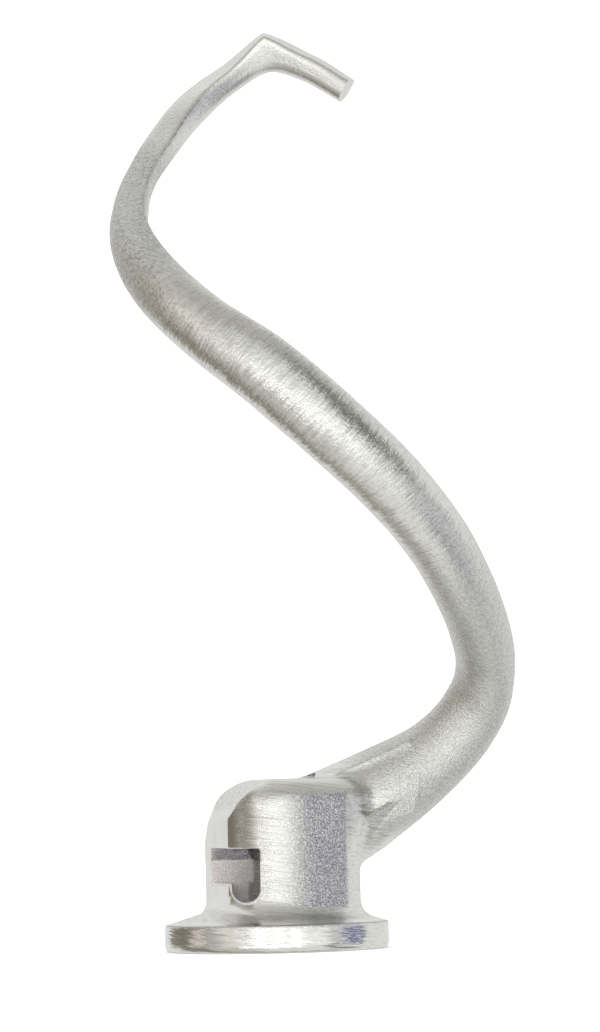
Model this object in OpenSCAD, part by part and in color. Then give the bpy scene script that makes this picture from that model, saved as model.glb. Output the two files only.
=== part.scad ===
// Spiral dough hook for a stand mixer: one casting, drawn as its named regions.
// The origin is the centre of the flange's flat rest face, at the mouth of the drive bore.
// +Z runs up the bore axis to the toe, +X to the side that the arm leaves from, -Y to the front.

/* [Overall] */
// Height from the flange's rest face to the crest of the arm
overall_h = 203; // [190:1:215]

/* [Flange] */
// Diameter of the flange
flange_d = 48.8; // [46:0.2:56]
// Height of the flange's rim
rim_h = 6; // [5:0.5:7]
// Chamfer round the foot of the rim
rim_chamfer = 0.8; // [0.4:0.1:1.2]

/* [Hub] */
// Radius of each end of the oval hub
hub_r = 15.7; // [15.2:0.1:16.5]
// Distance between the two ends' centres, towards the arm
hub_shift = 2.8; // [2:0.2:3.4]
// Height of the hub's flat top
hub_top = 37; // [36:0.5:39]
// Width of the bevel round the hub's top
hub_bevel = 3; // [1:0.5:4]

/* [Drive socket] */
// Diameter of the bore, for a half-inch shaft of 12.7 mm
bore_d = 13; // [12.8:0.1:13.4]
// Depth of the blind bore
bore_depth = 32; // [30:0.5:33]
// Width of the channel that the shaft's cross pin slides up in
keyway_w = 6; // [5:0.5:7]
// Reach of that channel from the bore axis
keyway_reach = 9.5; // [9:0.5:10]
// Height of the bayonet slot's lower ledge
slot_low = 14.6; // [14:0.2:15.4]
// Height of the bayonet slot's ceiling
slot_high = 22; // [21:0.5:23]
// Width of the pocket that the cross pin rests in
seat_w = 6; // [5.4:0.2:7]
// Depth of that pocket below the ledge
seat_depth = 4; // [3.5:0.25:4.25]

/* [Arm] */
// Thickness of the arm, as a factor of its normal section
arm_thickness = 1; // [0.9:0.05:1.05]
// Extra height of the sharp crest where the arm turns down into the toe
crest_h = 2.7; // [1:0.1:3]

/* [Hidden] */
$fn = 96;

bore_r = bore_d / 2;
cone_top = rim_h + 2;           // where the flange's shallow cone meets the hub
slot_edge = -3.3;               // the slot's closed end, where the seat's far side stands
slot_back = 4.5;                // the slot's back wall
seat_x = slot_edge - seat_w / 2;
heel_y = 3;                     // the hub bulges behind the slot, round a centre of its own
heel_r = 16.9;
cone_r = max(hub_r + hub_shift, heel_r + heel_y) + 0.1;
cheek_at = [-8.6, -9.8, 0];     // a point on the flat cheek between the hub's front and its flank
flank_at = [-10.4, -6.6, 0];    // a point on the flat flank that the slot opens in
bevel_at = [-15.1, 7, 27];          // a point on both bevels above the flank
cheek_bearing = -55;            // the ways that these flats face, from the front towards the arm
flank_bearing = -72;
bevel_bearings = [-74, -115];
bevel_tilt = 22;
ramp_start = 3.7;               // the hub's top rises towards the arm from here
ramp_end = 12;
ramp_rise = 1.8;
ramp_front = -2;
ramp_back = 10;
notch_start = 4.4;              // the small step cut into that rise from the front
notch_end = 8.9;
notch_back = 3;
boss_length = 12;               // how far the arm's boss reaches back into the hub
big = 100;

// The arm's stations, from the hub to the tip of the toe:
// x, y, z, half height of the section, half depth of it, its roll inwards in degrees,
// and how sharp its inner upper and outer upper corners are, from 0 (round) to 1.
ARM = [
    [18.5,   4.5,  30.0, 10.3, 9.0,  0, 0.0, 0.0],
    [27.0,   4.5,  35.2, 9.2, 8.2,  0, 0.0, 0.0],
    [35.0,   4.5,  41.0, 8.2, 7.3,  0, 0.0, 0.0],
    [41.5,   3.5,  47.5, 7.5, 6.8,  0, 0.0, 0.0],
    [45.5,   1.0,  54.5, 7.4, 6.6,  0, 0.0, 0.0],
    [46.5,  -3.5,  62.0, 7.4, 6.6,  0, 0.0, 0.0],
    [45.0, -10.5,  69.0, 7.5, 6.6,  0, 0.0, 0.0],
    [41.5, -19.5,  77.5, 7.6, 6.6,  0, 0.0, 0.0],
    [35.5, -28.0,  88.0, 7.6, 6.6,  0, 0.0, 0.0],
    [26.0, -35.5,  99.5, 7.7, 6.6,  0, 0.0, 0.0],
    [13.5, -40.0, 111.5, 7.8, 6.6,  0, 0.0, 0.0],
    [ 0.0, -40.0, 123.5, 7.7, 6.6,  0, 0.0, 0.0],
    [-12.4, -36.0, 133.0, 7.0, 6.3,  0, 0.0, 0.0],
    [-22.6, -28.0, 143.0, 6.3, 5.4,  0, 0.2, 0.0],
    [-27.8, -17.0, 152.5, 5.2, 4.6,  0, 0.4, 0.0],
    [-28.0,  -5.0, 161.0, 4.0, 4.0,  0, 0.7, 0.3],
    [-26.0,   6.0, 168.5, 3.5, 3.5,  8, 1.0, 0.6],
    [-21.5,  14.5, 176.5, 3.3, 3.8, 14, 1.0, 0.8],
    [-15.0,  20.5, 185.1, 3.5, 3.8, 18, 1.0, 1.0],
    [ -6.5,  24.0, 192.3, 3.1, 3.7, 18, 1.0, 1.0],
    [  2.2,  25.0, 197.0, 3.2, 3.6, 18, 1.0, 1.0],
    [ 10.8,  23.6, 194.6, 3.1, 3.5, 14, 0.7, 1.0],
    [ 19.5,  21.5, 189.0, 2.9, 3.2, 10, 0.4, 1.0]
];
neck_end = 3;                   // the station where each region ends and the next begins
lower_bend_end = 7;
lower_sweep_end = 10;
upper_sweep_end = 13;
upper_bend_end = 16;
crest = 20;
tip = len(ARM) - 1;
crest_span = 1.5;               // how many stations the crest's slopes take on each side
crest_power = 4;                // how steeply they rise to its edge
face_crown = 0.35;              // how square a sharp corner is on its flat side's edge
drawn_h = 203;                  // the overall height that the stations are drawn for
ring_points = 24;
rings_per_station = 4;
root_z = ARM[0][2];
stretch = (overall_h - root_z) / (drawn_h - root_z);

// A cubic through b and c, with a and d as the points on either side.
function cubic(a, b, c, d, u) =
    0.5 * (2 * b + (c - a) * u + (2 * a - 5 * b + 4 * c - d) * u * u
           + (3 * b - a - 3 * c + d) * u * u * u);

// The station at any place t along the arm.
function station(t) =
    let (i = max(0, min(floor(t), tip - 1)),
         b = ARM[i],
         c = ARM[i + 1],
         a = i > 0 ? ARM[i - 1] : 2 * b - c,
         d = i + 2 <= tip ? ARM[i + 2] : 2 * c - b)
    cubic(a, b, c, d, t - i);

function centre(t) =
    let (s = station(t))
    [s[0], s[1], root_z + (s[2] - root_z) * stretch];

function unit(v) = v / norm(v);

// The direction that the arm runs in at t.
function heading(t) = unit(centre(min(t + 0.01, tip)) - centre(max(t - 0.01, 0)));

// Corner k of the section at t: a rounded oval whose upper corners sharpen along the arm.
function section_point(t, k) =
    let (s = station(t),
         a = 360 * k / ring_points,
         peak = crest_h * pow(max(0, 1 - abs(t - crest) / crest_span), crest_power),
         up = sin(a) > 0 ? s[3] + peak : s[3],
         sharp = sin(a) <= 0 ? 0 : cos(a) < 0 ? 8 * s[6] : 3 * s[7],
         out = sign(cos(a)) * s[4] * pow(abs(cos(a)), 2 / (2 + sharp)) * arm_thickness,
         high = sign(sin(a)) * up * pow(abs(sin(a)), 2 / (2 + sharp * face_crown)) * arm_thickness)
    [out * cos(s[5]) - high * sin(s[5]), out * sin(s[5]) + high * cos(s[5])];

function ring(t) =
    let (c = centre(t),
         along = heading(t),
         high = unit([0, 0, 1] - along[2] * along),
         out = cross(high, along))
    [for (k = [0:ring_points - 1])
        let (p = section_point(t, k))
        c + p[0] * out + p[1] * high];

// A length of the arm between two stations, closed by a flat face at each end.
module arm_length(first, last) {
    count = (last - first) * rings_per_station;
    points = [for (i = [0:count]) each ring(first + i / rings_per_station)];
    start = [for (k = [0:ring_points - 1]) k];
    end = [for (k = [0:ring_points - 1]) count * ring_points + ring_points - 1 - k];
    sides = [for (i = [0:count - 1]) for (k = [0:ring_points - 1])
        let (n = (k + 1) % ring_points,
             a = i * ring_points + k,
             b = i * ring_points + n,
             c = b + ring_points,
             d = a + ring_points)
        each [[a, c, b], [a, d, c]]];
    polyhedron(points, concat([start], [end], sides));
}

// Everything between two heights.
module level(low, high) {
    intersection() {
        children();
        translate([-big / 2, -big / 2, low]) cube([big, big, high - low]);
    }
}

// The hub's outline turned about one of its centres.
module hub_end(r = hub_r) {
    rotate_extrude()
        polygon([[0, rim_h], [r, rim_h], [r, hub_top - hub_bevel], [r - hub_bevel, hub_top],
                 [0, hub_top]]);
}

// The straight part of the hub between its two centres.
module hub_middle() {
    rotate([90, 0, 90])
        linear_extrude(hub_shift)
            polygon([[-hub_r, rim_h], [hub_r, rim_h], [hub_r, hub_top - hub_bevel],
                     [hub_r - hub_bevel, hub_top], [hub_bevel - hub_r, hub_top],
                     [-hub_r, hub_top - hub_bevel]]);
}

// The round boss on the hub that the arm grows from.
module arm_boss() {
    along = heading(0);
    translate(centre(0))
        rotate([0, acos(along[2]), atan2(along[1], along[0])])
            translate([0, 0, -boss_length])
                cylinder(r = ARM[0][3] * arm_thickness, h = boss_length);
}

// The rise in the hub's top where it runs up into the arm, with the small step in it.
module ramp() {
    difference() {
        translate([0, ramp_back, 0])
            rotate([90, 0, 0])
                linear_extrude(ramp_back - ramp_front)
                    polygon([[ramp_start, hub_top], [ramp_end, hub_top + ramp_rise],
                             [ramp_end + 2, hub_top - hub_bevel], [ramp_start, hub_top - hub_bevel]]);
        translate([notch_start, notch_back - big, hub_top])
            cube([notch_end - notch_start, big, big]);
    }
}

// Everything beyond a plane that faces a bearing and tilts upward.
module beyond(at, bearing, tilt) {
    translate(at)
        rotate([0, 0, bearing - 90])
            rotate([0, -tilt, 0])
                translate([0, -big / 2, -big / 2]) cube([big, big, big]);
}

// The flats on the side away from the arm: a cheek, the flank and the two bevels above it.
module flat_cuts() {
    beyond(cheek_at, cheek_bearing, 0);
    beyond(flank_at, flank_bearing, 0);
    for (bearing = bevel_bearings) beyond(bevel_at, bearing, bevel_tilt);
}

module hub_solid() {
    difference() {
        union() {
            hub_end();
            translate([hub_shift, 0, 0]) hub_end();
            translate([0, heel_y, 0]) hub_end(heel_r);
            hub_middle();
            arm_boss();
            ramp();
        }
        flat_cuts();
    }
}

// The drive socket: the bore, the pin's channel, the bayonet slot and the pin's seat.
module socket_cut() {
    translate([0, 0, -1]) cylinder(d = bore_d, h = bore_depth + 1);
    translate([-keyway_reach, -keyway_w / 2, -1]) cube([keyway_reach, keyway_w, slot_high + 1]);
    translate([slot_edge - big, slot_back - big, slot_low]) cube([big, big, slot_high - slot_low]);
    translate([seat_x, 0, slot_low - seat_depth + seat_w / 2])
        rotate([90, 0, 0]) cylinder(d = seat_w, h = big);
}

module flange() {
    color("silver")
        difference() {
            rotate_extrude()
                polygon([[0, 0], [flange_d / 2 - rim_chamfer, 0], [flange_d / 2, rim_chamfer],
                         [flange_d / 2, rim_h - rim_chamfer / 2],
                         [flange_d / 2 - rim_chamfer / 2, rim_h], [cone_r, cone_top], [0, cone_top]]);
            socket_cut();
        }
}

module lower_collar() {
    color("gainsboro")
        difference() {
            level(cone_top, slot_low) hub_solid();
            socket_cut();
        }
}

module slot_collar() {
    color("lightgray")
        difference() {
            level(slot_low, slot_high) hub_solid();
            socket_cut();
        }
}

module crown() {
    color("gainsboro")
        difference() {
            level(slot_high, big) hub_solid();
            socket_cut();
        }
}

module neck() {
    color("silver") arm_length(0, neck_end);
}

module lower_bend() {
    color("gainsboro") arm_length(neck_end, lower_bend_end);
}

module lower_sweep() {
    color("silver") arm_length(lower_bend_end, lower_sweep_end);
}

module upper_sweep() {
    color("gainsboro") arm_length(lower_sweep_end, upper_sweep_end);
}

module upper_bend() {
    color("silver") arm_length(upper_sweep_end, upper_bend_end);
}

module tail() {
    color("gainsboro") arm_length(upper_bend_end, crest);
}

module toe() {
    color("silver") arm_length(crest, tip);
}

flange();
lower_collar();
slot_collar();
crown();
neck();
lower_bend();
lower_sweep();
upper_sweep();
upper_bend();
tail();
toe();
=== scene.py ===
"""The looks of a cast aluminium spiral dough hook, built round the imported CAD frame.

Lengths in the shape functions are millimetres, in the CAD's frame, and are scaled to metres when a mesh
is made. The hub, the flange and the neck are one smooth field that is meshed on a grid. The rest of
the arm is a fine sweep along the CAD's own stations. Both are cut where the CAD's nodes meet.
"""
import math

import bmesh
import bpy
import numpy as np
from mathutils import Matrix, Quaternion, Vector


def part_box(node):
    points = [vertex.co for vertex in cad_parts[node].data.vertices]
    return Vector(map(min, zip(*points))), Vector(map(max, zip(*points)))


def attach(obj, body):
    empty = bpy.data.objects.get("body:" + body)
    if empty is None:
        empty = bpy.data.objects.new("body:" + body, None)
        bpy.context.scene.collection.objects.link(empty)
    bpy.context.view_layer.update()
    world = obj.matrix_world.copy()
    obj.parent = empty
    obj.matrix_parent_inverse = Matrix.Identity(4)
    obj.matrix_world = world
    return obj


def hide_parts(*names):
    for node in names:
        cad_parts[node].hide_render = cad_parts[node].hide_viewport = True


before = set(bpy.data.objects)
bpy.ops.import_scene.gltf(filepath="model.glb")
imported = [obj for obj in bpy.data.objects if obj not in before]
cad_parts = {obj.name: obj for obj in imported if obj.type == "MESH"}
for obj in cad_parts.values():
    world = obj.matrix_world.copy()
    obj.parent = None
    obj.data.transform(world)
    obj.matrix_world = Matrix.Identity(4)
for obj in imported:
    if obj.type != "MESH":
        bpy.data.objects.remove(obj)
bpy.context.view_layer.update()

MM = 0.001

# ---- Sizes that the CAD model gives, in mm -------------------------------------------------------

FLANGE_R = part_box("flange")[1][0] / MM
COLLAR_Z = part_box("lower_collar")[0][2] / MM    # the flange ends and the hub's plain collar begins
SLOT_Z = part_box("lower_collar")[1][2] / MM      # the bayonet slot's ledge
CEILING_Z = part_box("slot_collar")[1][2] / MM    # the bayonet slot's ceiling

# ---- Sizes that repeat the CAD's own, in mm ------------------------------------------------------

RIM_H = 6.0
RIM_CHAMFER = 0.8
HUB_R = 15.7
HUB_SHIFT = 2.8
HUB_TOP = 37.0
BORE_R = 6.5
BORE_DEPTH = 32.0
KEYWAY_W = 6.0
KEYWAY_REACH = 9.5
SLOT_EDGE = -3.3
SLOT_BACK = 4.5
SEAT_W = 6.0
SEAT_DEPTH = 4.0
NOTCH_START = 4.4
NOTCH_END = 8.9
NOTCH_BACK = 3.0
CREST_H = 2.7
CREST_SPAN = 1.5
CREST_POWER = 4
FACE_CROWN = 0.35
CONE_TILT = math.radians(17)            # the flange's top
HEEL_Y = 3.0                            # the bulge behind the slot
HEEL_R = 16.9
CHEEK_AT = (-8.6, -9.8, 0)              # the flat beside the slot's closed end
CHEEK_BEARING = -55
FLANK_AT = (-10.4, -6.6, 0)             # the flat that the slot opens in
FLANK_BEARING = -72
BEVEL_AT = (-15.1, 7.0, 27.0)           # two slants that cut the hub's upper left
BEVEL_BEARINGS = (-74, -115)
BEVEL_TILT = 22
SHOULDER_TILT = 48                      # the slope round the hub's top
SHOULDER_DROP = 3.2

# ---- Sizes of the finish alone, in mm -------------------------------------------------------------

HUB_SWELL = 2.5                         # the hub widens towards the arm
COVE_DROP = 2.6                         # the hollow between the slot's ceiling and its back wall
WEB_START = 6.0                         # the ramp from the hub's top to the arm
WEB_TOP = 37.1
WEB_END = 30.0
WEB_SLOPE = 0.42
WEB_CROWN = 13.5
WEB_HALF = 6.0

# ---- The metal's grain, with heights in mm ---------------------------------------------------------

PEBBLES_PER_MM = 3.2
PEBBLE_HEIGHT = 0.38
LINE_HEIGHT = 0.08
WRINKLE_HEIGHT = 0.22
STREAK_TILT = 0.55
PALE_METAL = (0.90, 0.895, 0.88, 1)
GREY_METAL = (0.83, 0.825, 0.805, 1)
# Pit colour: pitted cast skin, whose dark blue tint is a painted reflection of dark blue surroundings;
# in the notch, the cove and along the rim's upper edge it paints shade and a dark reflection line
PIT_AND_SHADE_COLOUR = (0.29, 0.30, 0.40, 1)
SCORE_COLOUR = (0.50, 0.49, 0.46, 1)
FOLD_COLOUR = (0.45, 0.445, 0.41, 1)
RAW_COLOUR = (0.90, 0.84, 0.81, 1)

# ---- The arm --------------------------------------------------------------------------------------

# x, y, z, half height, half depth, roll, sharpness of the inner and the outer upper corner
ARM = np.array([
    [18.5, 4.5, 30.0, 10.3, 9.0, 0, 0.0, 0.0],
    [27.0, 4.5, 35.2, 9.2, 8.2, 0, 0.0, 0.0],
    [35.0, 4.5, 41.0, 8.2, 7.3, 0, 0.0, 0.0],
    [41.5, 3.5, 47.5, 7.5, 6.8, 0, 0.0, 0.0],
    [45.5, 1.0, 54.5, 7.4, 6.6, 0, 0.0, 0.0],
    [46.5, -3.5, 62.0, 7.4, 6.6, 0, 0.0, 0.0],
    [45.0, -10.5, 69.0, 7.5, 6.6, 0, 0.0, 0.0],
    [41.5, -19.5, 77.5, 7.6, 6.6, 0, 0.0, 0.0],
    [35.5, -28.0, 88.0, 7.6, 6.6, 0, 0.0, 0.0],
    [26.0, -35.5, 99.5, 7.7, 6.6, 0, 0.0, 0.0],
    [13.5, -40.0, 111.5, 7.8, 6.6, 0, 0.0, 0.0],
    [0.0, -40.0, 123.5, 7.7, 6.6, 0, 0.0, 0.0],
    [-12.4, -36.0, 133.0, 7.0, 6.3, 0, 0.0, 0.0],
    [-22.6, -28.0, 143.0, 6.3, 5.4, 0, 0.2, 0.0],
    [-27.8, -17.0, 152.5, 5.2, 4.6, 0, 0.4, 0.0],
    [-28.0, -5.0, 161.0, 4.0, 4.0, 0, 0.7, 0.3],
    [-26.0, 6.0, 168.5, 3.5, 3.5, 8, 1.0, 0.6],
    [-21.5, 14.5, 176.5, 3.3, 3.8, 14, 1.0, 0.8],
    [-15.0, 20.5, 185.1, 3.5, 3.8, 18, 1.0, 1.0],
    [-6.5, 24.0, 192.3, 3.1, 3.7, 18, 1.0, 1.0],
    [2.2, 25.0, 197.0, 3.2, 3.6, 18, 1.0, 1.0],
    [10.8, 23.6, 194.6, 3.1, 3.5, 14, 0.7, 1.0],
    [19.5, 21.5, 189.0, 2.9, 3.2, 10, 0.4, 1.0],
])
TIP = len(ARM) - 1
CREST = 20
NECK_END = 3                            # the hub's mesh holds the arm up to this station
NECK_REACH = NECK_END + 1.2
NECK_NEAR = 1.0                         # the arm's distance is worked out only at larger x
REGIONS = [("lower_bend", 3, 7), ("lower_sweep", 7, 10), ("upper_sweep", 10, 13),
           ("upper_bend", 13, 16), ("tail", 16, CREST), ("toe", CREST, TIP)]

# ---- Fineness -------------------------------------------------------------------------------------

GRID = 0.4       # spacing of the hub's field samples
RING_STEP = 0.4  # spacing of the arm's rings
RING_POINTS = 144
BLOCK = 4                               # grid steps between the hub field's first, rough samples
NECK_ROWS = 421                         # rows in the table of the arm's first part


# ---- The arm's stations ---------------------------------------------------------------------------

def station(t):
    """The station values at each place t along the arm, on a cubic through the stations."""
    t = np.asarray(t, float)
    i = np.clip(np.floor(t).astype(int), 0, TIP - 1)
    u = (t - i)[..., None]
    b = ARM[i]
    c = ARM[i + 1]
    a = np.where(i[..., None] > 0, ARM[np.maximum(i - 1, 0)], 2 * b - c)
    d = np.where(i[..., None] + 2 <= TIP, ARM[np.minimum(i + 2, TIP)], 2 * c - b)
    return 0.5 * (2 * b + (c - a) * u + (2 * a - 5 * b + 4 * c - d) * u ** 2
                  + (3 * b - a - 3 * c + d) * u ** 3)


def unit(v):
    """Vectors scaled to length 1."""
    return v / np.linalg.norm(v, axis=-1, keepdims=True)


def arm_frames(t):
    """Centre, heading, outward and upward directions of the arm at each t."""
    centre = station(t)[..., :3]
    ahead = station(np.minimum(t + 0.01, TIP))[..., :3]
    behind = station(np.maximum(t - 0.01, 0))[..., :3]
    along = unit(ahead - behind)
    high = unit(np.array([0.0, 0.0, 1.0]) - along[..., 2:3] * along)
    return centre, along, np.cross(high, along), high


def section(t, angle):
    """Outward and upward offsets of the arm's surface: t and angle are arrays of one shape."""
    s = station(t)
    cos, sin = np.cos(angle), np.sin(angle)
    peak = CREST_H * np.maximum(0, 1 - np.abs(t - CREST) / CREST_SPAN) ** CREST_POWER
    up = np.where(sin > 0, s[..., 3] + peak, s[..., 3])
    sharp = np.where(sin <= 0, 0, np.where(cos < 0, 8 * s[..., 6], 3 * s[..., 7]))
    out = np.sign(cos) * s[..., 4] * np.abs(cos) ** (2 / (2 + sharp))
    rise = np.sign(sin) * up * np.abs(sin) ** (2 / (2 + sharp * FACE_CROWN))
    roll = np.radians(s[..., 5])
    return out * np.cos(roll) - rise * np.sin(roll), out * np.sin(roll) + rise * np.cos(roll)


# ---- Noise ----------------------------------------------------------------------------------------

def lattice(i, j, k, seed):
    """A repeatable value from -1 to 1 for each whole-number place."""
    h = (i * 374761393 + j * 668265263 + k * 2147483647 + seed * 974634777) & 0xFFFFFFFF
    h = ((h ^ (h >> 13)) * 1274126177) & 0xFFFFFFFF
    return ((h ^ (h >> 16)) & 0xFFFF) / 32767.5 - 1


def noise(p, seed):
    """Smooth value noise from about -1 to 1, one unit across."""
    cell = np.floor(p).astype(np.int64)
    f = p - cell
    f = f * f * f * (f * (f * 6 - 15) + 10)
    total = 0
    for di in (0, 1):
        for dj in (0, 1):
            for dk in (0, 1):
                w = np.where(di, f[..., 0], 1 - f[..., 0])
                w = w * np.where(dj, f[..., 1], 1 - f[..., 1])
                w = w * np.where(dk, f[..., 2], 1 - f[..., 2])
                value = lattice(cell[..., 0] + di, cell[..., 1] + dj, cell[..., 2] + dk, seed)
                total = total + w * value
    return total


def ramp(x, low, high):
    """0 below low, 1 above high, smooth between."""
    u = np.clip((x - low) / (high - low), 0, 1)
    return u * u * (3 - 2 * u)


# ---- The hub's field ------------------------------------------------------------------------------

def smooth_max(a, b, k):
    """The larger of two distances, with the edge between them rounded over about k."""
    h = np.maximum(k - np.abs(a - b), 0) / k
    return np.maximum(a, b) + h * h * k * 0.25


def smooth_min(a, b, k):
    """The smaller of two distances, with the hollow between them filled over about k."""
    return -smooth_max(-a, -b, k)


def box_field(p, low, high, k):
    """Distance to a box between two corners, with edges rounded over k."""
    d = None
    for axis in range(3):
        for side in (low[axis] - p[..., axis], p[..., axis] - high[axis]):
            d = side if d is None else smooth_max(d, side, k)
    return d


def plane_field(p, at, normal):
    """Distance past a plane through a point."""
    n = np.array(normal, float)
    n /= np.linalg.norm(n)
    return (p - np.array(at, float)) @ n


def flange_field(p):
    """The round foot: an upright rim, a small chamfer under it, and a shallow cone on top."""
    r = np.hypot(p[..., 0], p[..., 1])
    z = p[..., 2]
    cone = ((z - RIM_H) - (FLANGE_R - 0.6 - r) * math.tan(CONE_TILT)) * math.cos(CONE_TILT)
    chamfer = (r - FLANGE_R + RIM_CHAMFER - z) / math.sqrt(2)
    d = smooth_max(r - FLANGE_R, cone, 0.4)
    d = smooth_max(d, chamfer, 0.5)
    return smooth_max(d, -z, 0.3)


def bearing_plane(p, at, bearing, tilt):
    """Distance past a plane that faces a bearing, in degrees from -Y towards +X, and tilts upward."""
    b, t = math.radians(bearing), math.radians(tilt)
    return plane_field(p, at, (math.sin(b) * math.cos(t), -math.cos(b) * math.cos(t), math.sin(t)))


def oval_field(x, y, a, b):
    """Distance to an upright oval wall with half widths a and b, true near the wall."""
    k0 = np.sqrt((x / a) ** 2 + (y / b) ** 2)
    k1 = np.sqrt((x / a ** 2) ** 2 + (y / b ** 2) ** 2) + 1e-9
    return k0 * (k0 - 1) / k1


def hub_field(p):
    """The upright body: an oval with a cheek and a flat flank by the slot, a bevel and a shoulder."""
    x, y, z = p[..., 0], p[..., 1], p[..., 2]
    swell = HUB_SWELL * ramp(z, 20, 28) * ramp(x, 8, 17)
    d = oval_field(x - HUB_SHIFT / 2 - swell, y, HUB_R + HUB_SHIFT / 2, HUB_R)
    heel = np.hypot(x, y - HEEL_Y) - HEEL_R
    d = smooth_min(d, heel, 1.0)
    d = smooth_max(d, bearing_plane(p, CHEEK_AT, CHEEK_BEARING, 0), 1.3)
    d = smooth_max(d, bearing_plane(p, FLANK_AT, FLANK_BEARING, 0), 0.3)
    for bearing in BEVEL_BEARINGS:
        d = smooth_max(d, bearing_plane(p, BEVEL_AT, bearing, BEVEL_TILT), 0.2)
    tilt = math.radians(SHOULDER_TILT)
    shoulder = d * math.cos(tilt) + (z - HUB_TOP + SHOULDER_DROP) * math.sin(tilt)
    d = smooth_max(d, shoulder, 1.4)
    return smooth_max(d, z - HUB_TOP, 1.6)


def neck_table():
    """The arm's first part in rows: centre, heading, outward, upward, speed, half height, half depth."""
    t = np.linspace(0, NECK_REACH, NECK_ROWS)
    frames = np.concatenate(arm_frames(t), axis=1)
    speed = np.linalg.norm(np.gradient(frames[:, :3], t, axis=0), axis=1)
    return np.concatenate([frames, speed[:, None], station(t)[:, 3:5]], axis=1)


NECK_TABLE = neck_table()


def neck_rows(t):
    """The neck table read between its rows, at each t."""
    place = np.clip(t / NECK_REACH * (NECK_ROWS - 1), 0, NECK_ROWS - 1.001)
    i = place.astype(int)
    u = (place - i)[:, None]
    return NECK_TABLE[i] * (1 - u) + NECK_TABLE[i + 1] * u


def arm_field(p):
    """Distance to the first part of the arm, from its section at the nearest place, and that place."""
    flat = p.reshape(-1, 3)
    distance = np.full(len(flat), 30.0)
    place = np.zeros(len(flat))
    near = flat[:, 0] > NECK_NEAR
    q = flat[near]
    t = np.zeros(len(q))
    best = np.full(len(q), 1e9)
    for row in range(0, NECK_ROWS, 12):
        gap = ((q - NECK_TABLE[row, :3]) ** 2).sum(-1)
        nearer = gap < best
        best[nearer] = gap[nearer]
        t[nearer] = row / (NECK_ROWS - 1) * NECK_REACH
    for _ in range(2):
        rows = neck_rows(t)
        step = ((q - rows[:, :3]) * rows[:, 3:6]).sum(-1)
        t = np.clip(t + step / rows[:, 12], 0, NECK_REACH)
    rows = neck_rows(t)
    rel = q - rows[:, :3]
    a = (rel * rows[:, 6:9]).sum(-1)
    b = (rel * rows[:, 9:12]).sum(-1)
    tall, deep = rows[:, 13], rows[:, 14]
    behind = np.maximum(0, -(rel * rows[:, 3:6]).sum(-1))
    k0 = np.sqrt((a / deep) ** 2 + (b / tall) ** 2)
    k1 = np.sqrt((a / deep ** 2) ** 2 + (b / tall ** 2) ** 2) + 1e-9
    distance[near] = np.maximum(k0 * (k0 - 1) / k1, behind - 8)
    place[near] = t
    return distance.reshape(p.shape[:-1]), place.reshape(p.shape[:-1])


def socket_field(p):
    """The drive socket's empty space: bore, pin channel, bayonet slot and pin seat."""
    x, y, z = p[..., 0], p[..., 1], p[..., 2]
    bore = smooth_max(np.hypot(x, y) - BORE_R, z - BORE_DEPTH, 0.6)
    key = box_field(p, (-KEYWAY_REACH, -KEYWAY_W / 2, -9), (0, KEYWAY_W / 2, CEILING_Z - 0.5), 0.5)
    slot = box_field(p, (-40, -40, SLOT_Z), (SLOT_EDGE, SLOT_BACK, CEILING_Z), 0.4)
    cove = plane_field(p, (0, SLOT_BACK, CEILING_Z - COVE_DROP), (0, 1, 1))
    slot = smooth_max(slot, cove, 0.4)
    seat_x = SLOT_EDGE - SEAT_W / 2
    seat = np.hypot(x - seat_x, z - (SLOT_Z - SEAT_DEPTH + SEAT_W / 2)) - SEAT_W / 2
    seat = smooth_max(seat, y, 0.4)
    d = smooth_min(bore, key, 0.3)
    d = smooth_min(d, slot, 0.3)
    return smooth_min(d, seat, 0.5)


def web_field(p):
    """The short ramp that rises from the hub's top to the arm."""
    x, y, z = p[..., 0], p[..., 1], p[..., 2]
    side = y - ARM[0, 1]
    run = x - WEB_START
    roof = (z - WEB_TOP - WEB_SLOPE * run + side ** 2 / WEB_CROWN) * 0.9
    ends = np.maximum(x - WEB_END, -x)
    return np.maximum(np.maximum(roof, ends), np.maximum(np.abs(side) - WEB_HALF, HUB_TOP - 8 - z))


def casting_field(p):
    """The whole of the hub end: below 0 inside the metal, above 0 outside."""
    arm, _ = arm_field(p)
    blend = 2.2 - 1.4 * ramp(p[..., 2], 36, 39)
    d = smooth_min(hub_field(p), web_field(p), 1.0)
    d = smooth_min(d, arm, blend)
    notch = box_field(p, (NOTCH_START, -40, HUB_TOP + 0.2), (NOTCH_END, NOTCH_BACK, 60), 0.2)
    d = smooth_max(d, -notch, 0.2)
    d = smooth_min(d, flange_field(p), 3.0)
    d = smooth_max(d, -p[..., 2], 0.3)
    return smooth_max(d, -socket_field(p), 0.35)


# ---- Meshing the field ----------------------------------------------------------------------------

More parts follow.
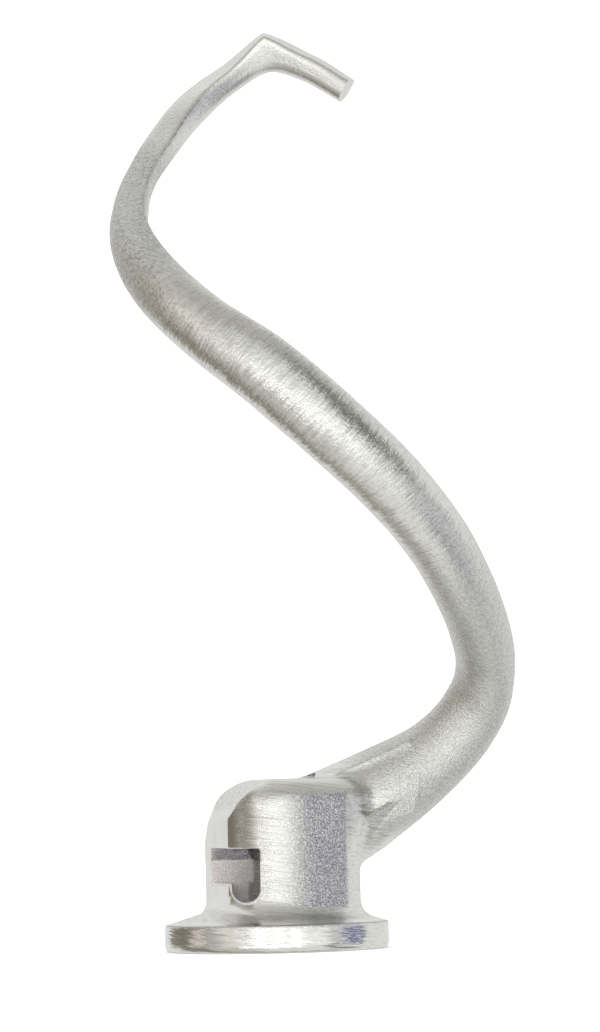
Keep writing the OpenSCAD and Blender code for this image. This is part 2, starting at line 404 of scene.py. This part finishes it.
def surface_net(field, low, high, step):
    """Vertices and quads where a field sampled on a grid changes sign."""
    blocks = [int(math.ceil((high[i] - low[i]) / step / BLOCK)) for i in range(3)]
    rough_axes = [low[i] + (np.arange(blocks[i]) + 0.5) * BLOCK * step for i in range(3)]
    rough = field(np.stack(np.meshgrid(*rough_axes, indexing="ij"), -1))
    rough = np.kron(rough, np.ones((BLOCK,) * 3))
    axes = [low[i] + np.arange(blocks[i] * BLOCK) * step for i in range(3)]
    grid = np.stack(np.meshgrid(*axes, indexing="ij"), -1)
    value = rough.copy()
    near = np.abs(rough) < BLOCK * step * 1.6
    value[near] = field(grid[near])
    inside = value < 0
    shape = tuple(n - 1 for n in inside.shape)
    total = np.zeros(shape + (3,))
    count = np.zeros(shape)
    corners = [(i, j, k) for i in (0, 1) for j in (0, 1) for k in (0, 1)]
    for a in corners:
        for axis in range(3):
            if a[axis]:
                continue
            b = list(a)
            b[axis] = 1
            va = value[a[0]:a[0] + shape[0], a[1]:a[1] + shape[1], a[2]:a[2] + shape[2]]
            vb = value[b[0]:b[0] + shape[0], b[1]:b[1] + shape[1], b[2]:b[2] + shape[2]]
            cross = (va < 0) != (vb < 0)
            f = np.where(cross, va / np.where(cross, va - vb, 1), 0)
            for d in range(3):
                total[..., d] += np.where(cross, a[d] + (f if d == axis else 0), 0)
            count += cross
    used = count > 0
    index = np.full(shape, -1)
    index[used] = np.arange(used.sum())
    where = np.argwhere(used)
    points = np.array(low) + (where + total[used] / count[used][:, None]) * step
    quads = []
    for axis in range(3):
        u, v = (axis + 1) % 3, (axis + 2) % 3
        cut = [slice(1, -1)] * 3
        cut[axis] = slice(0, -1)
        ahead = [slice(1, -1)] * 3
        ahead[axis] = slice(1, None)
        first, second = inside[tuple(cut)], inside[tuple(ahead)]
        for flip, mask in ((False, first & ~second), (True, ~first & second)):
            at = np.argwhere(mask)
            at += np.array([0 if i == axis else 1 for i in range(3)])
            ring = []
            for du, dv in ((-1, -1), (0, -1), (0, 0), (-1, 0)):
                cell = at.copy()
                cell[:, u] += du
                cell[:, v] += dv
                ring.append(index[cell[:, 0], cell[:, 1], cell[:, 2]])
            quad = np.stack(ring, -1)
            quads.append(quad[:, ::-1] if flip else quad)
    return points, np.concatenate(quads)


def gradient(field, p, h=0.02):
    """Direction and rate in which a field grows, from samples h to each side."""
    parts = []
    for axis in range(3):
        move = np.zeros(3)
        move[axis] = h
        parts.append(field(p + move) - field(p - move))
    return np.stack(parts, -1) / (2 * h)


def settle(field, p, rounds=3):
    """Moves points on to the field's zero surface, none of them further than half a grid step."""
    moved = p
    for _ in range(rounds):
        g = gradient(field, moved)
        value = field(moved)
        moved = moved - value[:, None] * g / np.maximum((g * g).sum(-1), 0.5)[:, None]
        moved = p + np.clip(moved - p, -GRID / 2, GRID / 2)
    return moved


# ---- Unevenness of the casting -------------------------------------------------------------------

def cast_waves(p):
    """How far the casting's skin stands off its true shape, in mm: slow waves, all of them inward."""
    waves = 0.05 * noise(p / 9, 1) + 0.03 * noise(p / 4, 2)
    return (waves - 0.1) * ramp(p[..., 2], 0.2, 1.5)


def skin_weights(p, t):
    """How strongly the pebbled grain, the turning or brush lines and the wrinkles show at a point. The
    grain weight also paints shade into the notch and the cove, and a dark reflection line on the rim's
    upper edge.
    """
    x, y, z = p[..., 0], p[..., 1], p[..., 2]
    # the hub's right side, its flat flank (as 0), the flange's rim, and the rim's upper edge, which gets
    # a painted dark reflection line
    right = ramp(x, 0.0, 9.0) * (1 - ramp(x, 15.0, 16.0)) * ramp(z, 8, 10) * (1 - ramp(z, 33, 35))
    flank = 1 - ramp(bearing_plane(p, FLANK_AT, FLANK_BEARING, 0), -1.5, -0.3)
    flank = 1 - (1 - flank) * ramp(z, 8, 10)
    rim = 1 - ramp(z, 6.0, 7.0)
    edge = (1 - ramp(np.abs(z - RIM_H + 0.1), 0.1, 0.4)) * ramp(np.hypot(x, y), 23.6, 24.0)
    # the notch on the hub's top, and the cove under the slot's ceiling, both given painted shade
    notch = ramp(x, NOTCH_START - 0.4, NOTCH_START) * (1 - ramp(x, NOTCH_END, NOTCH_END + 0.4))
    notch = notch * ramp(z, 37.1, 37.3) * (1 - ramp(y, 3.2, 3.6))
    cove_low = CEILING_Z - COVE_DROP
    cove = ramp(z, cove_low, cove_low + 0.3) * (1 - ramp(z, CEILING_Z, CEILING_Z + 0.1))
    cove = cove * (1 - ramp(np.abs(y - SLOT_BACK + COVE_DROP / 2), 1.2, 1.6)) * (1 - ramp(x, -5.0, -4.0))
    # the arm as a whole, its first rise, its long sweep, and its bend at the back
    arm = ramp(t, 0, 1)
    low = 1 - ramp(t, 6.5, 8.5)
    middle = ramp(t, 6.5, 8.5) * (1 - ramp(t, 12, 13.5))
    bend = ramp(t, 12, 13.5) * (1 - ramp(t, 16, 17.5))

    pebble = (0.25 + 0.75 * right) * (0.2 + 0.8 * flank) * (1 - 0.8 * rim)
    # painted shade in the notch and the cove and a painted dark reflection line on the rim's upper edge:
    # extra grain weight there darkens them through the pit colour
    pebble = pebble + 0.9 * np.maximum(np.maximum(edge, notch), cove)
    pebble = pebble * (1 - arm) + (0.22 + 0.3 * low + 0.42 * bend) * arm
    lines = (1 - 0.7 * right) * flank * (1 - 0.35 * rim) * (1 - arm)
    lines = lines + (0.25 + 0.65 * middle + 0.15 * low) * arm
    wrinkles = (0.15 + 0.3 * low + 0.1 * middle + 0.85 * bend) * arm
    return np.stack([pebble, lines, wrinkles], -1)


# ---- Meshes ---------------------------------------------------------------------------------------

def vertex_normals(points, faces):
    """Point normals of a mesh of quads, weighted by the quads' sizes."""
    a, b, c, d = (points[faces[:, i]] for i in range(4))
    n = np.cross(c - a, d - b)
    total = np.zeros_like(points)
    for i in range(4):
        np.add.at(total, faces[:, i], n)
    return unit(total + 1e-12)


def put_attribute(mesh, name, values):
    """Stores three numbers on each point. "skin" holds skin_weights, "axis" the direction of the run,
    and "flow" the distance along the run, 0, and how raw the casting is.
    """
    layer = mesh.attributes.new(name, "FLOAT_VECTOR", "POINT")
    layer.data.foreach_set("vector", np.asarray(values, np.float32).ravel())


def hub_mesh():
    """The flange, hub and neck as one mesh with its normals and skin stored on its points."""
    low = (-FLANGE_R - 1, -FLANGE_R - 1, -1)
    high = (48, FLANGE_R + 1, 58)
    end = ARM[NECK_END, :3]
    along = arm_frames(np.array([float(NECK_END)]))[1][0]

    def field(p):
        stop = (p - end) @ along - 1.5
        return np.maximum(casting_field(p), stop)

    points, quads = surface_net(field, low, high, GRID)
    kept = (points - end) @ along < 1.5 - GRID * 0.2
    points[kept] = settle(casting_field, points[kept])
    normals = vertex_normals(points, quads)
    points = points + normals * cast_waves(points)[:, None]
    normals = vertex_normals(points, quads)
    t = arm_field(points)[1]
    on_arm = plane_field(points, ARM[0, :3], arm_frames(np.array([0.0]))[1][0]) > 0
    t = np.where(on_arm, np.maximum(t, 0.01), 0)
    mesh = bpy.data.meshes.new("hub_whole")
    mesh.from_pydata((points * MM).tolist(), [], quads.tolist())
    put_attribute(mesh, "skin_normal", normals)
    # above the cove's lower edge the raw casting fades to a tenth, so the pit colour's painted shade
    # shows on the cove
    cove_low = CEILING_Z - COVE_DROP
    below_cove = 1 - ramp(points[:, 2], cove_low - 0.3, cove_low + 0.1)
    raw = (1 - ramp(np.abs(socket_field(points)), 0.25, 0.6)) * (0.1 + 0.9 * below_cove)
    put_attribute(mesh, "skin", skin_weights(points, t))
    put_attribute(mesh, "flow", np.stack([points[:, 2], np.zeros(len(points)), raw], -1))
    put_attribute(mesh, "axis", np.tile([0.0, 0.0, 1.0], (len(points), 1)))
    return mesh


def cut_piece(source, name, cuts):
    """A closed copy of a mesh, kept on the inner side of each (point, outward normal) plane, in mm."""
    bm = bmesh.new()
    bm.from_mesh(source)
    cap_layer = bm.faces.layers.int.new("cap")
    for at, normal in cuts:
        bmesh.ops.bisect_plane(bm, geom=bm.verts[:] + bm.edges[:] + bm.faces[:], dist=1e-7,
                               plane_co=Vector(at) * MM, plane_no=Vector(normal), clear_outer=True)
        open_edges = [e for e in bm.edges if e.is_boundary]
        filled = bmesh.ops.triangle_fill(bm, use_beauty=True, edges=open_edges, normal=Vector(normal))
        for item in filled["geom"]:
            if isinstance(item, bmesh.types.BMFace):
                item[cap_layer] = 1
    bmesh.ops.recalc_face_normals(bm, faces=bm.faces[:])
    mesh = bpy.data.meshes.new(name)
    bm.to_mesh(mesh)
    bm.free()
    return mesh


def smooth_with_stored_normals(mesh):
    """Shades a mesh with the normals of the whole casting, so that no seam shows where it was cut."""
    stored = np.empty(len(mesh.vertices) * 3, np.float32)
    mesh.attributes["skin_normal"].data.foreach_get("vector", stored)
    stored = unit(stored.reshape(-1, 3) + 1e-9)
    starts = np.empty(len(mesh.loops), np.int32)
    mesh.loops.foreach_get("vertex_index", starts)
    loops = stored[starts]
    cap = np.empty(len(mesh.polygons), np.int32)
    mesh.attributes["cap"].data.foreach_get("value", cap)
    sizes = np.empty(len(mesh.polygons), np.int32)
    mesh.polygons.foreach_get("loop_total", sizes)
    flat = np.empty(len(mesh.polygons) * 3, np.float32)
    mesh.polygons.foreach_get("normal", flat)
    on_cap = np.repeat(cap == 1, sizes)
    loops[on_cap] = np.repeat(flat.reshape(-1, 3), sizes, axis=0)[on_cap]
    mesh.shade_smooth()
    mesh.normals_split_custom_set(loops.tolist())
    mesh.attributes.remove(mesh.attributes["cap"])
    mesh.attributes.remove(mesh.attributes["skin_normal"])


def make_piece(mesh, node, material):
    """An object for one CAD node: it rides the body and stands in for the node."""
    piece = bpy.data.objects.new(node + "_skin", mesh)
    bpy.context.scene.collection.objects.link(piece)
    mesh.materials.append(material)
    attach(piece, "root")
    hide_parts(node)


def hub_pieces(material):
    """The hub's mesh cut into the CAD's nodes, from the flange to the neck."""
    whole = hub_mesh()
    at_neck, along_neck = ARM[0, :3], arm_frames(np.array([0.0]))[1][0]
    at_end, along_end = ARM[NECK_END, :3], arm_frames(np.array([float(NECK_END)]))[1][0]
    up, down = (0, 0, 1), (0, 0, -1)
    before_neck = (at_neck, along_neck)
    cuts = {
        "flange": [((0, 0, COLLAR_Z), up)],
        "lower_collar": [((0, 0, COLLAR_Z), down), ((0, 0, SLOT_Z), up)],
        "slot_collar": [((0, 0, SLOT_Z), down), ((0, 0, CEILING_Z), up), before_neck],
        "crown": [((0, 0, CEILING_Z), down), before_neck],
        "neck": [(at_neck, -along_neck), (at_end, along_end)],
    }
    for node, planes in cuts.items():
        mesh = cut_piece(whole, node, planes)
        smooth_with_stored_normals(mesh)
        make_piece(mesh, node, material)
    bpy.data.meshes.remove(whole)


def ring_places():
    """Places along the arm for its rings, evenly spaced, with every region's ends among them."""
    places = [np.array([NECK_END - 0.2, NECK_END - 0.1])]
    for _, first, last in REGIONS:
        t = np.linspace(first, last, 400)
        p = station(t)[:, :3]
        run = np.concatenate([[0], np.cumsum(np.linalg.norm(np.diff(p, axis=0), axis=1))])
        count = max(2, int(round(run[-1] / RING_STEP)))
        places.append(np.interp(np.linspace(0, run[-1], count + 1)[:-1], run, t))
    places.append(np.array([float(TIP)]))
    return np.concatenate(places)


def arm_grid():
    """Points, along by around, with equal spacing round every ring."""
    t = ring_places()
    angle = np.linspace(0, 2 * math.pi, 721)
    tt, aa = np.meshgrid(t, angle, indexing="ij")
    out, rise = section(tt, aa)
    gap = np.hypot(np.diff(out, axis=1), np.diff(rise, axis=1))
    run = np.concatenate([np.zeros((len(t), 1)), np.cumsum(gap, axis=1)], axis=1)
    even_out = np.empty((len(t), RING_POINTS))
    even_rise = np.empty((len(t), RING_POINTS))
    for i in range(len(t)):
        want = np.arange(RING_POINTS) / RING_POINTS * run[i, -1]
        even_out[i] = np.interp(want, run[i], out[i])
        even_rise[i] = np.interp(want, run[i], rise[i])
    centre, along, outward, high = arm_frames(t)
    points = centre[:, None] + even_out[..., None] * outward[:, None]
    points = points + even_rise[..., None] * high[:, None]
    length = np.concatenate([[0], np.cumsum(np.linalg.norm(np.diff(centre, axis=0), axis=1))])
    return t, points, length, along


def grid_normals(points):
    """Normals of the arm's skin from each point's neighbours."""
    ahead = np.empty_like(points)
    ahead[1:-1] = points[2:] - points[:-2]
    ahead[0] = points[1] - points[0]
    ahead[-1] = points[-1] - points[-2]
    round_ = np.roll(points, -1, axis=1) - np.roll(points, 1, axis=1)
    return unit(np.cross(round_, ahead))


def arm_pieces(material):
    """The sweep's rings shared out between the CAD's nodes, from the lower bend to the toe."""
    t, points, length, along = arm_grid()
    normals = grid_normals(points)
    points = points + normals * cast_waves(points)[..., None]
    normals = grid_normals(points)
    weights = skin_weights(points, np.repeat(t[:, None], RING_POINTS, axis=1))
    run = np.repeat(length[:, None], RING_POINTS, axis=1)
    flow = np.stack([run, np.zeros_like(run), np.zeros_like(run)], -1)
    axis = np.repeat(along[:, None], RING_POINTS, axis=1)
    for node, first, last in REGIONS:
        i = int(np.argmin(np.abs(t - first)))
        j = int(np.argmin(np.abs(t - last)))
        make_piece(tube_mesh(node, points, normals, weights, flow, axis, i, j), node, material)


def tube_mesh(node, points, normals, weights, flow, axis, i, j):
    """The rings from i to j, closed by a flat cap at each end."""
    rings = j - i + 1
    part = slice(i, j + 1)
    body = points[part].reshape(-1, 3)
    ends = np.stack([points[i].mean(0), points[j].mean(0)])
    grid = np.arange(rings * RING_POINTS).reshape(rings, RING_POINTS)
    right = np.roll(grid, -1, axis=1)
    quads = np.stack([grid[:-1], right[:-1], right[1:], grid[1:]], -1).reshape(-1, 4)
    start, stop = len(body), len(body) + 1
    first_cap = np.stack([right[0], grid[0], np.full(RING_POINTS, start)], -1)
    last_cap = np.stack([grid[-1], right[-1], np.full(RING_POINTS, stop)], -1)
    mesh = bpy.data.meshes.new(node)
    mesh.from_pydata((np.concatenate([body, ends]) * MM).tolist(), [],
                     quads.tolist() + first_cap.tolist() + last_cap.tolist())

    def with_ends(values):
        return np.concatenate([values[part].reshape(-1, 3), values[i, :1], values[j, :1]])

    put_attribute(mesh, "skin_normal", with_ends(normals))
    put_attribute(mesh, "skin", with_ends(weights))
    put_attribute(mesh, "flow", with_ends(flow))
    put_attribute(mesh, "axis", with_ends(axis))
    cap = mesh.attributes.new("cap", "INT", "FACE")
    flags = np.zeros(len(mesh.polygons), np.int32)
    flags[len(quads):] = 1
    cap.data.foreach_set("value", flags)
    smooth_with_stored_normals(mesh)
    return mesh


# ---- Material -------------------------------------------------------------------------------------

def colour_result(node):
    """A Mix node's colour output: it has one hidden output of the same name for each kind of data."""
    return [o for o in node.outputs if o.enabled][0]


class Nodes:
    """Short calls for building a node tree."""

    def __init__(self, tree):
        self.tree = tree

    def add(self, kind, inputs=(), **settings):
        node = self.tree.nodes.new(kind)
        for name, value in settings.items():
            setattr(node, name, value)
        for key, value in dict(inputs).items():
            socket = node.inputs[key]
            if kind == "ShaderNodeMix":
                socket = [i for i in node.inputs if i.name == key and i.enabled][0]
            if isinstance(value, bpy.types.NodeSocket):
                self.tree.links.new(value, socket)
            else:
                socket.default_value = value
        return node

    def math(self, operation, a, b=0.0):
        return self.add("ShaderNodeMath", {0: a, 1: b}, operation=operation).outputs[0]

    def scaled(self, vector, by):
        return self.add("ShaderNodeVectorMath", {0: vector, 1: by}, operation="MULTIPLY").outputs[0]

    def mixed(self, factor, a, b):
        node = self.add("ShaderNodeMix", {"Factor": factor, "A": a, "B": b}, data_type="RGBA")
        return colour_result(node)

    def noise(self, vector, scale, detail=2.0, roughness=0.5):
        node = self.add("ShaderNodeTexNoise",
                        {"Vector": vector, "Scale": scale, "Detail": detail, "Roughness": roughness})
        return node.outputs["Fac"]


def soft_step(n, value, low, high):
    """0 below low and 1 above high."""
    settings = {"Value": value, "From Min": low, "From Max": high}
    return n.add("ShaderNodeMapRange", settings, interpolation_type="SMOOTHSTEP").outputs[0]


def stretched(n, place, flow, across, along):
    """A noise coordinate with its own rates per mm across the casting and along its run."""
    inputs = {0: n.scaled(place, (across,) * 3), 1: n.scaled(flow, (along, 0, 0))}
    return n.add("ShaderNodeVectorMath", inputs, operation="ADD").outputs[0]


def brushed_normal(n, bump, axis, streaks, lined):
    """Tips the bumped normal to and fro along the run, as fine brush lines do."""
    across = n.add("ShaderNodeVectorMath", {0: axis, 1: bump}, operation="CROSS_PRODUCT").outputs[0]
    tilt = n.math("MULTIPLY", n.math("MULTIPLY", n.math("SUBTRACT", streaks, 0.5), lined), STREAK_TILT)
    tilted = n.add("ShaderNodeVectorMath", {0: across, "Scale": tilt}, operation="SCALE").outputs[0]
    normal = n.add("ShaderNodeVectorMath", {0: bump, 1: tilted}, operation="ADD").outputs[0]
    return n.add("ShaderNodeVectorMath", {0: normal}, operation="NORMALIZE").outputs[0]


def cast_metal():
    """Burnished cast aluminium: pebbled grain, turning lines and wrinkles, each where it belongs, and a
    pit colour that is partly painted shade and painted reflection.
    """
    material = bpy.data.materials.new("cast_aluminium_skin")
    material.use_nodes = True
    tree = material.node_tree
    tree.nodes.clear()
    n = Nodes(tree)

    place = n.add("ShaderNodeTexCoord").outputs["Object"]
    mm = n.scaled(place, (1 / MM,) * 3)
    skin = n.add("ShaderNodeAttribute", attribute_name="skin").outputs["Vector"]
    pebbled, lined, wrinkled = n.add("ShaderNodeSeparateXYZ", {0: skin}).outputs
    flow = n.add("ShaderNodeAttribute", attribute_name="flow").outputs["Vector"]
    raw = n.add("ShaderNodeSeparateXYZ", {0: flow}).outputs[2]
    axis = n.add("ShaderNodeAttribute", attribute_name="axis").outputs["Vector"]
    grain = n.math("MAXIMUM", pebbled, raw)

    pebble = n.noise(mm, PEBBLES_PER_MM, 1.5, 0.6)
    lines = n.noise(stretched(n, mm, flow, 0.4, 2.6), 1.0, 2.0, 0.6)
    streaks = n.noise(stretched(n, mm, flow, 0.2, 2.4), 1.0, 1.0, 0.6)
    wrinkles = n.noise(stretched(n, mm, flow, 1.5, 0.8), 1.0, 2.0, 0.5)

    height = n.math("MULTIPLY", n.math("MULTIPLY", pebble, grain), PEBBLE_HEIGHT)
    height = n.math("ADD", height, n.math("MULTIPLY", n.math("MULTIPLY", lines, lined), LINE_HEIGHT))
    folded = n.math("MULTIPLY", n.math("MULTIPLY", wrinkles, wrinkled), WRINKLE_HEIGHT)
    height = n.math("ADD", height, folded)
    bump = n.add("ShaderNodeBump", {"Height": height, "Strength": 1.0, "Distance": MM}).outputs[0]
    normal = brushed_normal(n, bump, axis, streaks, lined)

    colour = n.mixed(n.noise(mm, 0.12, 2.0), PALE_METAL, GREY_METAL)
    # pits: partly pitted cast skin, partly painted shade and painted reflection, through the pit colour
    pit_and_shade_weight = n.math("MULTIPLY", n.math("MULTIPLY", grain, grain), 0.9)
    pits_and_shade = n.math("MULTIPLY", soft_step(n, pebble, 0.60, 0.42), pit_and_shade_weight)
    colour = n.mixed(pits_and_shade, colour, PIT_AND_SHADE_COLOUR)
    scores = n.math("MULTIPLY", soft_step(n, lines, 0.48, 0.34), n.math("MULTIPLY", lined, 0.35))
    colour = n.mixed(scores, colour, SCORE_COLOUR)
    folds = n.math("MULTIPLY", soft_step(n, wrinkles, 0.52, 0.38), n.math("MULTIPLY", wrinkled, 0.6))
    colour = n.mixed(folds, colour, FOLD_COLOUR)
    colour = n.mixed(n.math("MULTIPLY", raw, 0.6), colour, RAW_COLOUR)

    metallic = n.math("SUBTRACT", 1.0, n.math("MULTIPLY", raw, 0.6))
    rough = n.add("ShaderNodeMapRange", {"Value": pebble, "To Min": 0.06, "To Max": 0.12}).outputs[0]
    rough = n.math("ADD", rough, n.math("MULTIPLY", grain, 0.1))
    rough = n.math("ADD", rough, n.math("MULTIPLY", raw, 0.25))
    shader = n.add("ShaderNodeBsdfPrincipled",
                   {"Base Color": colour, "Metallic": metallic, "Roughness": rough, "Normal": normal})
    out = n.add("ShaderNodeOutputMaterial")
    tree.links.new(shader.outputs[0], out.inputs["Surface"])
    return material


# ---- Stage ----------------------------------------------------------------------------------------

FLOOR_HALF = 3.0                        # in metres
CAMERA_AT = (7.1, -1200, 45)
CAMERA_TO = (7.1, 0, 93.9)
CAMERA_ROLL = math.radians(1.34)
CAMERA_LENS = 192.6
STUDIO_COLOUR = (0.78, 0.78, 0.76, 1)   # between the cards, as the metal mirrors it
WHITE_SURROUND = (1.6, 1.6, 1.6, 1)     # as the camera and the floor see it

# What stands round the hook, as the metal mirrors it. Angles are degrees: the bearing is 0 on the
# viewer's side and grows towards +X, the height is 0 on the level. Each card has its left and right
# bearings, its low and high heights, the softness of its left, right and level edges, and its colour.
# A later card covers an earlier one.
CARDS = [
    ("ceiling", -400, 400, 62, 120, 1, 1, 12, (0.46, 0.46, 0.42)),
    ("high_left", -190, -117, 40, 74, 8, 5, 6, (0.82, 0.82, 0.80)),
    ("high_back", 150, 190, 40, 66, 8, 5, 6, (0.70, 0.70, 0.68)),
    ("under", -400, 400, -120, -58, 1, 1, 12, (0.40, 0.40, 0.37)),
    ("under_front", -30, 80, -84, -48, 20, 10, 8, (0.78, 0.78, 0.74)),
    ("left_screen", -78, -18, -60, 60, 10, 16, 16, (0.56, 0.56, 0.52)),
    ("left_wall", -122, -72, -64, 56, 9, 12, 14, (0.27, 0.25, 0.205)),
    ("left_window", -66, -44, 10, 32, 6, 6, 6, (1.05, 0.99, 0.93)),
    ("right_dark", 41, 86, 11, 56, 4, 8, 5, (0.17, 0.17, 0.15)),
    ("front_high", -30, 44, 46, 64, 12, 12, 8, (0.36, 0.36, 0.32)),
    ("right_high", 84, 146, 40, 72, 12, 12, 10, (0.44, 0.44, 0.41)),
    ("right_blue", 54, 82, -40, -5, 4, 5, 5, (0.24, 0.24, 0.27)),
    ("right_blue_low", 76, 98, -44, -18, 5, 8, 5, (0.27, 0.27, 0.31)),
    ("right_low", 84, 112, -52, -30, 8, 8, 8, (0.36, 0.36, 0.35)),
    ("right_gap", 70, 96, -20, -8, 2, 4, 2, (0.86, 0.86, 0.83)),
    ("front_light", -20, 38, -46, 38, 8, 6, 12, (0.80, 0.80, 0.77)),
    ("lamp", -40, 28, -16, 6, 4, 3, 3, (1.55, 1.55, 1.50)),
    ("left_door", -139, -104, -6, 4, 2, 2, 3, (0.20, 0.175, 0.14)),
    ("left_pink", -99, -78, -6, 4, 2, 2, 3, (0.74, 0.67, 0.63)),
    ("left_grey", -77, -60, -6, 4, 2, 2, 3, (0.46, 0.46, 0.45)),
    ("left_pale", -60, -39, -6, 4, 2, 2, 3, (0.85, 0.80, 0.76)),
    ("left_shade", -38, -24, -6, 3, 2, 2, 2, (0.55, 0.55, 0.54)),
    ("front_shade", -8, -2, -5, 2, 2, 2, 2, (0.50, 0.48, 0.44)),
    ("right_grey", 7, 16, -5, 2, 2, 2, 2, (0.62, 0.62, 0.61)),
    ("right_window", 28, 54, -6, 4, 2, 4, 3, (1.05, 1.05, 1.03)),
    ("right_lilac", 56, 73, -6, 4, 3, 2, 3, (0.66, 0.66, 0.68)),
    ("right_door", 74, 103, -6, 2, 2, 2, 2, (0.09, 0.11, 0.26)),
]


def floor_material():
    """A plain pale floor without a sheen."""
    material = bpy.data.materials.new("pale_floor")
    material.use_nodes = True
    shader = material.node_tree.nodes["Principled BSDF"]
    shader.inputs["Base Color"].default_value = (0.97, 0.97, 0.97, 1)
    shader.inputs["Roughness"].default_value = 1.0
    shader.inputs["Specular IOR Level"].default_value = 0.0
    return material


def make_floor():
    """A wide level floor that the metal does not mirror."""
    mesh = bpy.data.meshes.new("floor")
    half = FLOOR_HALF
    corners = [(-half, -half, 0), (half, -half, 0), (half, half, 0), (-half, half, 0)]
    mesh.from_pydata(corners, [], [(0, 1, 2, 3)])
    mesh.materials.append(floor_material())
    floor = bpy.data.objects.new("floor", mesh)
    floor.visible_glossy = False
    bpy.context.scene.collection.objects.link(floor)


def make_world():
    """White for the floor and the view, and a studio's soft cards for what the metal mirrors."""
    world = bpy.data.worlds.new("studio")
    bpy.context.scene.world = world
    world.use_nodes = True
    tree = world.node_tree
    tree.nodes.clear()
    n = Nodes(tree)
    way = n.add("ShaderNodeTexCoord").outputs["Generated"]
    x, y, z = n.add("ShaderNodeSeparateXYZ", {0: way}).outputs
    bearing = n.math("DEGREES", n.math("ARCTAN2", x, n.math("MULTIPLY", y, -1.0)))
    height = n.math("DEGREES", n.math("ARCSINE", z))
    colour = n.add("ShaderNodeRGB").outputs[0]
    colour.default_value = STUDIO_COLOUR
    for name, left, right, low, high, soft_left, soft_right, soft_level, paint in CARDS:
        mask = soft_step(n, bearing, left - soft_left, left + soft_left)
        for value, edge, soft, sign in ((bearing, right, soft_right, -1), (height, low, soft_level, 1),
                                        (height, high, soft_level, -1)):
            step = soft_step(n, value, edge - soft, edge + soft)
            if sign < 0:
                step = n.math("SUBTRACT", 1.0, step)
            mask = n.math("MULTIPLY", mask, step)
        mix = n.add("ShaderNodeMix", {"Factor": mask, "A": colour, "B": paint + (1,)},
                    data_type="RGBA", label=name)
        colour = colour_result(mix)
    glossy = n.add("ShaderNodeLightPath").outputs["Is Glossy Ray"]
    seen = n.mixed(glossy, WHITE_SURROUND, colour)
    back = n.add("ShaderNodeBackground", {"Color": seen})
    out = n.add("ShaderNodeOutputWorld")
    tree.links.new(back.outputs[0], out.inputs["Surface"])


def make_camera():
    """A long lens in front of the hook, a little above its foot."""
    data = bpy.data.cameras.new("camera")
    camera = bpy.data.objects.new("camera", data)
    bpy.context.scene.collection.objects.link(camera)
    data.lens = CAMERA_LENS
    data.clip_start = 0.05
    data.clip_end = 20
    place = Vector(CAMERA_AT) * MM
    look = Vector(CAMERA_TO) * MM - place
    camera.location = place
    camera.rotation_mode = "QUATERNION"
    turn = look.to_track_quat("-Z", "Y")
    camera.rotation_quaternion = Quaternion(look.normalized(), CAMERA_ROLL) @ turn
    bpy.context.scene.camera = camera


metal = cast_metal()
hub_pieces(metal)
arm_pieces(metal)
make_floor()
make_world()
make_camera()
bpy.context.scene.view_settings.view_transform = "Standard"
